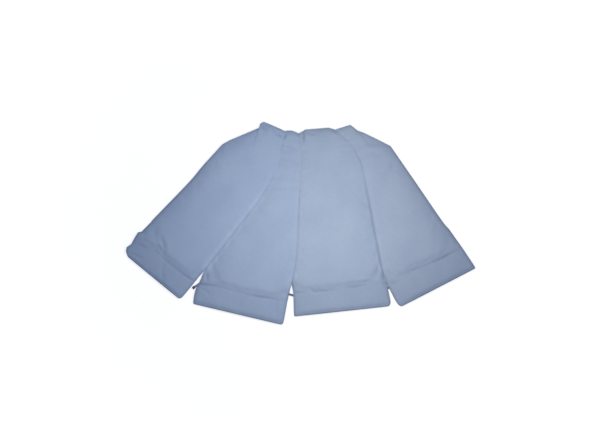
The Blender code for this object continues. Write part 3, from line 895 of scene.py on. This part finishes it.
def overhand_knot(middle, along):
    """The closed middle line of a small tight knot round a point."""
    side = along.cross(Vector((0.0, 0.0, 1.0))).normalized()
    upward = side.cross(along)
    size = (KNOT_RADIUS - KNOT_THREAD) / 3
    line = []
    for step in range(KNOT_STEPS):
        angle = 2 * math.pi * step / KNOT_STEPS
        reach = math.sin(angle) + 2 * math.sin(2 * angle)
        swing = math.cos(angle) - 2 * math.cos(2 * angle)
        lengthways = along * math.sin(3 * angle) * KNOT_STRETCH
        line.append(middle + (side * reach + upward * swing - lengthways) * size)
    return [(line, True)]


def make_tie(name, mesh, shade, material):
    """Give a tie its colour and the shade painted into its knot, from 0 to 1 at each point, and its
    place in the model.
    """
    give_values(mesh, "cord_colour_and_knot_shade", [shade(vertex.co) for vertex in mesh.vertices])
    make_piece(name + "_cord", mesh, material, name, CORD_SMOOTHING)


def make_loose_tie(side, material):
    """The tie at the first slit: a short cord that ends in a knot."""
    height = HEM_SIDE_THICKNESS + PLY_CLEARANCE / 2
    root = Vector((*(side.beside_hem_line(-TIE_RADIUS) + np.array([LOOSE_TIE_SEWN_IN, 0.0])), height))
    tip = root + Vector((*LOOSE_TIE_REACH, KNOT_RADIUS + PLY_CLEARANCE - height))
    along = (tip - root).normalized()
    lines = plaited_strands(root, tip)
    cord = tubes("tie_1_2_strands", lines, STRAND_RADIUS)
    knot = tubes("tie_1_2_knot", overhand_knot(tip, along), KNOT_THREAD)
    joined = bmesh.new()
    joined.from_mesh(cord)
    joined.from_mesh(knot)
    mesh = bpy.data.meshes.new("tie_1_2_cord")
    joined.to_mesh(mesh)
    joined.free()
    knot_middle = tip + Vector(PLAN_SHIFT)

    # Shade painted into the knot, darkest at its middle
    def shade(place):
        return smooth_step((place - knot_middle).length, 2.0 * KNOT_RADIUS, KNOT_RADIUS)

    make_tie("tie_1_2", mesh, shade, material)


def make_bridging_tie(name, left, right, material):
    """A cord across a slit, sewn in at the hem side on its left and on its right."""
    ends, swell, depth = BRIDGING_TIES[name]
    height = max(HEM_SIDE_THICKNESS, TIE_LIFT * swell * TIE_RADIUS) + PLY_CLEARANCE / 2
    start = Vector((*left.beside_hem_line(ends[0]), height))
    end = Vector((*right.beside_hem_line(ends[1]), height))
    sewn_in = (end - start).normalized() * TIE_RADIUS
    strands = plaited_strands(start - sewn_in, end + sewn_in, swell)
    mesh = tubes(name + "_cord", strands, STRAND_RADIUS * swell)
    make_tie(name, mesh, lambda place: depth, material)


def add_node(owner, kind, links=(), stops=(), **settings):
    """Add a node, set its values and the stops of its colour ramp, and join its inputs."""
    node = owner.node_tree.nodes.new(kind)
    for name, value in settings.items():
        if name in ("attribute_name", "blend_type", "data_type", "operation"):
            setattr(node, name, value)
        else:
            node.inputs[name.replace("_", " ")].default_value = value
    for index, (position, colour) in enumerate(stops):
        ramp = node.color_ramp.elements
        between = 0 < index < len(stops) - 1
        stop = ramp.new(position) if between else ramp[0 if index == 0 else -1]
        stop.position = position
        stop.color = linear_colour(colour)
    for output, target in links:
        owner.node_tree.links.new(output, node.inputs[target])
    return node


def new_material(name, roughness):
    material = bpy.data.materials.new(name)
    material.use_nodes = True
    shader = material.node_tree.nodes["Principled BSDF"]
    shader.inputs["Metallic"].default_value = 0.0
    shader.inputs["Roughness"].default_value = roughness
    shader.inputs["IOR"].default_value = PLASTIC_IOR
    return material, shader


def join(owner, output, target):
    owner.node_tree.links.new(output, target)


def needled_polyester():
    """Needled polyester filter felt: matt, with a haze of fine crossing fibres and faint clouds, painted
    shade and highlight, and a painted bluish shade tint.
    """
    material, shader = new_material("needled_polyester_felt", 0.92)
    shader.inputs["Specular IOR Level"].default_value = 0.25
    shader.inputs["Sheen Weight"].default_value = 0.12
    shader.inputs["Sheen Roughness"].default_value = 0.6
    place = add_node(material, "ShaderNodeTexCoord")
    cloud = add_node(material, "ShaderNodeTexNoise", [(place.outputs["Object"], "Vector")],
                     Scale=1 / CLOUD_SIZE, Detail=3.0, Roughness=0.55)
    lays = []
    for turn in FIBRE_TURNS:
        aim = add_node(material, "ShaderNodeMapping", [(place.outputs["Object"], "Vector")],
                       Rotation=(0.0, 0.0, turn),
                       Scale=(1 / FIBRE_LENGTH, 1 / FIBRE_WIDTH, 1 / FIBRE_WIDTH))
        lays.append(add_node(material, "ShaderNodeTexNoise", [(aim.outputs["Vector"], "Vector")],
                             Scale=1.0, Detail=2.0, Roughness=0.6, Distortion=0.8).outputs["Fac"])
    fibres = lays[0]
    for lay in lays[1:]:
        fibres = add_node(material, "ShaderNodeMath", [(fibres, 0), (lay, 1)],
                          operation="MAXIMUM").outputs["Value"]
    tone = add_node(material, "ShaderNodeValToRGB", [(cloud.outputs["Fac"], "Fac")],
                    [(0.30, FELT_SHADE), (0.72, FELT_LIGHT)])
    strand = add_node(material, "ShaderNodeValToRGB", [(fibres, "Fac")],
                      [(0.42, "#ECEEF2"), (0.74, "#FFFFFF")])
    # Painted shade at seams, hem grooves, creases and the mouth edge, with some pressing, and a painted
    # highlight beside seams
    painted_light_and_pressure = add_node(material, "ShaderNodeAttribute", attribute_name="painted_light_and_pressure")
    painted_light_and_pressure_tint = add_node(material, "ShaderNodeValToRGB", [(painted_light_and_pressure.outputs["Fac"], "Fac")],
                     [(0.0, "#FFFFFF"), (AS_MADE, "#F4F4F5"), (SEWN_SHADE_AND_PRESSURE, "#D9DAE0"), (1.0, "#B1B5C4")])
    # A painted bluish tint of the shade, bluer on the left pockets and greyer on the right
    tint_and_shade = add_node(material, "ShaderNodeAttribute", attribute_name="tint_and_shade")
    drift = add_node(material, "ShaderNodeValToRGB", [(tint_and_shade.outputs["Fac"], "Fac")],
                     [(0.0, "#F9FFFF"), (1.0, "#FFFFF8")])
    colour = tone.outputs["Color"]
    for tint in (strand, painted_light_and_pressure_tint, drift):
        colour = add_node(material, "ShaderNodeMix", [(colour, 6), (tint.outputs["Color"], 7)],
                          data_type="RGBA", blend_type="MULTIPLY", Factor=1.0).outputs[2]
    join(material, colour, shader.inputs["Base Color"])
    bump = add_node(material, "ShaderNodeBump", [(fibres, "Height")], Strength=0.35, Distance=0.5 * MM)
    join(material, bump.outputs["Normal"], shader.inputs["Normal"])
    return material


def spun_polyester():
    """Spun polyester sewing thread, dyed as the felt, with a soft sheen along its twist."""
    material, shader = new_material("spun_polyester_thread", 0.6)
    shader.inputs["Sheen Weight"].default_value = 0.2
    place = add_node(material, "ShaderNodeTexCoord")
    twist = add_node(material, "ShaderNodeTexNoise", [(place.outputs["Object"], "Vector")],
                     Scale=1 / THREAD_TWIST, Detail=2.0)
    tone = add_node(material, "ShaderNodeValToRGB", [(twist.outputs["Fac"], "Fac")],
                    [(0.0, "#8C9BB7"), (1.0, "#A9B7D0")])
    join(material, tone.outputs["Color"], shader.inputs["Base Color"])
    bump = add_node(material, "ShaderNodeBump", [(twist.outputs["Fac"], "Height")],
                    Strength=0.4, Distance=0.15 * MM)
    join(material, bump.outputs["Normal"], shader.inputs["Normal"])
    return material


def braided_cord():
    """Braided polyester cord: plaited filament strands, slate blue, with shade painted darker in the
    knot.
    """
    material, shader = new_material("braided_polyester_cord", 0.75)
    shader.inputs["Sheen Weight"].default_value = 0.15
    place = add_node(material, "ShaderNodeTexCoord")
    filament = add_node(material, "ShaderNodeTexNoise", [(place.outputs["Object"], "Vector")],
                        Scale=1 / STRAND_FIBRE, Detail=3.0)
    # The cord's own colour, with shade painted into the knot
    depth = add_node(material, "ShaderNodeAttribute", attribute_name="cord_colour_and_knot_shade")
    tint_and_shade = add_node(material, "ShaderNodeValToRGB", [(depth.outputs["Fac"], "Fac")],
                   [(0.0, "#8B98B8"), (1.0, "#525B84")])
    tone = add_node(material, "ShaderNodeValToRGB", [(filament.outputs["Fac"], "Fac")],
                    [(0.0, "#B9BDC6"), (1.0, "#FFFFFF")])
    colour = add_node(material, "ShaderNodeMix", [(tint_and_shade.outputs["Color"], 6), (tone.outputs["Color"], 7)],
                      data_type="RGBA", blend_type="MULTIPLY", Factor=1.0)
    join(material, colour.outputs[2], shader.inputs["Base Color"])
    bump = add_node(material, "ShaderNodeBump", [(filament.outputs["Fac"], "Height")],
                    Strength=0.5, Distance=0.3 * MM)
    join(material, bump.outputs["Normal"], shader.inputs["Normal"])
    return material


def join_white_to_eye(owner, lit, white, target):
    """Join a lit look that turns plain white for rays straight from the camera or off a shine."""
    ray = add_node(owner, "ShaderNodeLightPath")
    seen = ray.outputs["Is Camera Ray"]
    for kind in ("Is Glossy Ray", "Is Transmission Ray"):
        seen = add_node(owner, "ShaderNodeMath", [(seen, 0), (ray.outputs[kind], 1)],
                        operation="MAXIMUM").outputs["Value"]
    choice = add_node(owner, "ShaderNodeMixShader", [(seen, 0), (lit, 1), (white, 2)])
    join(owner, choice.outputs["Shader"], target)


def make_floor():
    """A plain white floor that shows as white out to its edge and keeps the bag's shadow."""
    bpy.ops.object.select_all(action="DESELECT")
    bpy.ops.mesh.primitive_plane_add(size=FLOOR_SIZE)
    floor = bpy.context.active_object
    floor.name = "floor"
    floor.data.transform(Matrix.Translation((0.0, 0.0, -FLOOR_DROP)))
    material, shader = new_material("matt_white_paint", 0.9)
    shader.inputs["Base Color"].default_value = linear_colour("#F2F2F2")
    shader.inputs["Specular IOR Level"].default_value = 0.1
    place = add_node(material, "ShaderNodeTexCoord")
    distance = add_node(material, "ShaderNodeVectorMath", [(place.outputs["Object"], 0)],
                        operation="LENGTH")
    strength = add_node(material, "ShaderNodeMapRange", [(distance.outputs["Value"], "Value")],
                        From_Min=0.0, From_Max=FLOOR_GLOW_REACH,
                        To_Min=FLOOR_GLOW_NEAR, To_Max=FLOOR_GLOW_FAR)
    glow = add_node(material, "ShaderNodeEmission", [(strength.outputs["Result"], "Strength")],
                    Color=linear_colour("#FFFFFF"))
    half = add_node(material, "ShaderNodeBsdfDiffuse",
                    Color=(FLOOR_SHARE, FLOOR_SHARE, FLOOR_SHARE, 1.0))
    white = add_node(material, "ShaderNodeAddShader",
                     [(half.outputs["BSDF"], 0), (glow.outputs["Emission"], 1)])
    surface = material.node_tree.nodes["Material Output"].inputs["Surface"]
    join_white_to_eye(material, shader.outputs["BSDF"], white.outputs["Shader"], surface)
    floor.data.materials.append(material)
    floor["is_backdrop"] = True


def make_lamp():
    """A square soft lamp that hangs close above the bag and faces down."""
    lamp = bpy.data.lights.new("lamp_above", "AREA")
    lamp.size = LAMP_SIZE
    lamp.energy = LAMP_WATTS
    lamp.color = linear_colour(LAMP_COLOUR)[:3]
    holder = new_object("lamp_above", lamp)
    holder.location = LAMP_PLACE
    holder.rotation_euler = (Vector(LAMP_AIM) - Vector(LAMP_PLACE)).to_track_quat("-Z", "Y").to_euler()
    holder.visible_camera = False


def make_world():
    """Soft light from all round, and white where the camera looks past the floor."""
    world = bpy.data.worlds.new("studio")
    world.use_nodes = True
    bpy.context.scene.world = world
    light = world.node_tree.nodes["Background"]
    light.inputs["Color"].default_value = linear_colour(WORLD_COLOUR)
    light.inputs["Strength"].default_value = WORLD_LIGHT
    white = add_node(world, "ShaderNodeBackground", Strength=1.0)
    surface = world.node_tree.nodes["World Output"].inputs["Surface"]
    join_white_to_eye(world, light.outputs["Background"], white.outputs["Background"], surface)


def make_camera():
    """Straight above, as far off as puts the fan at the photograph's size."""
    camera = bpy.data.cameras.new("camera")
    camera.lens = CAMERA_LENS
    camera.sensor_width = CAMERA_SENSOR
    holder = new_object("camera", camera)
    height = PIXEL * IMAGE_WIDTH * CAMERA_LENS / CAMERA_SENSOR
    holder.location = ((IMAGE_WIDTH / 2 - PLAN_PIXEL_X) * PIXEL + PLAN_SHIFT[0],
                       (PLAN_PIXEL_Y - IMAGE_HEIGHT / 2) * PIXEL + PLAN_SHIFT[1],
                       height + PLY_THICKNESS)
    bpy.context.scene.camera = holder


def seam_stitches(name, left, right, thread):
    """The zigzag down a long seam, where two sheets meet or just inside the one sheet's free edge."""
    left_column = -1 if right else -1 - EDGE_SEAM_INSET
    right_column = 0 if left else EDGE_SEAM_INSET
    edges = [sheet.top[:SEAM_ROWS + 1, column]
             for sheet, column in ((left, left_column), (right, right_column)) if sheet]
    line = np.mean(edges, axis=0)
    stitch_row(name, line[2:-1], SEAM_TURN, SEAM_PITCH, thread)


def make_pocket(pocket, felt, thread):
    """A pocket's two plies and the stitches of its hems and narrow end; gives the front sheet."""
    for side in ("back", "front"):
        sheet = make_ply(pocket, side, felt)
        stitch_row(f"pocket_{pocket.number}_{side}_hem", sheet.top[HEM_LINE_ROW, 2:-2], 0.0,
                   STITCH_LENGTH + STITCH_GAP, thread)
    end_line = (sheet.top[0, 2:-2] + sheet.top[1, 2:-2]) / 2
    stitch_row(f"pocket_{pocket.number}_end", end_line, END_TURN, STITCH_LENGTH, thread)
    return sheet


def main():
    make_camera()
    make_world()
    make_lamp()
    make_floor()
    felt = needled_polyester()
    thread = spun_polyester()
    cord = braided_cord()

    pockets = [Pocket(number, Side(*left), Side(*right), narrow_end)
               for number, (left, right, narrow_end) in POCKETS.items()]
    sheets = [make_pocket(pocket, felt, thread) for pocket in pockets]
    for name, left, right in zip(LONG_SEAMS, (None, *sheets), (*sheets, None)):
        seam_stitches(name, left, right, thread)
    make_loose_tie(pockets[1].left, cord)
    make_bridging_tie("tie_2_3", pockets[1].right, pockets[2].left, cord)
    make_bridging_tie("tie_3_4", pockets[2].right, pockets[3].left, cord)


main()

bpy.context.scene.view_settings.view_transform = "Standard"
boxes = {"cad": cad_box, "visual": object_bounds()}
{name: [list(corner) for corner in box] for name, box in boxes.items()}
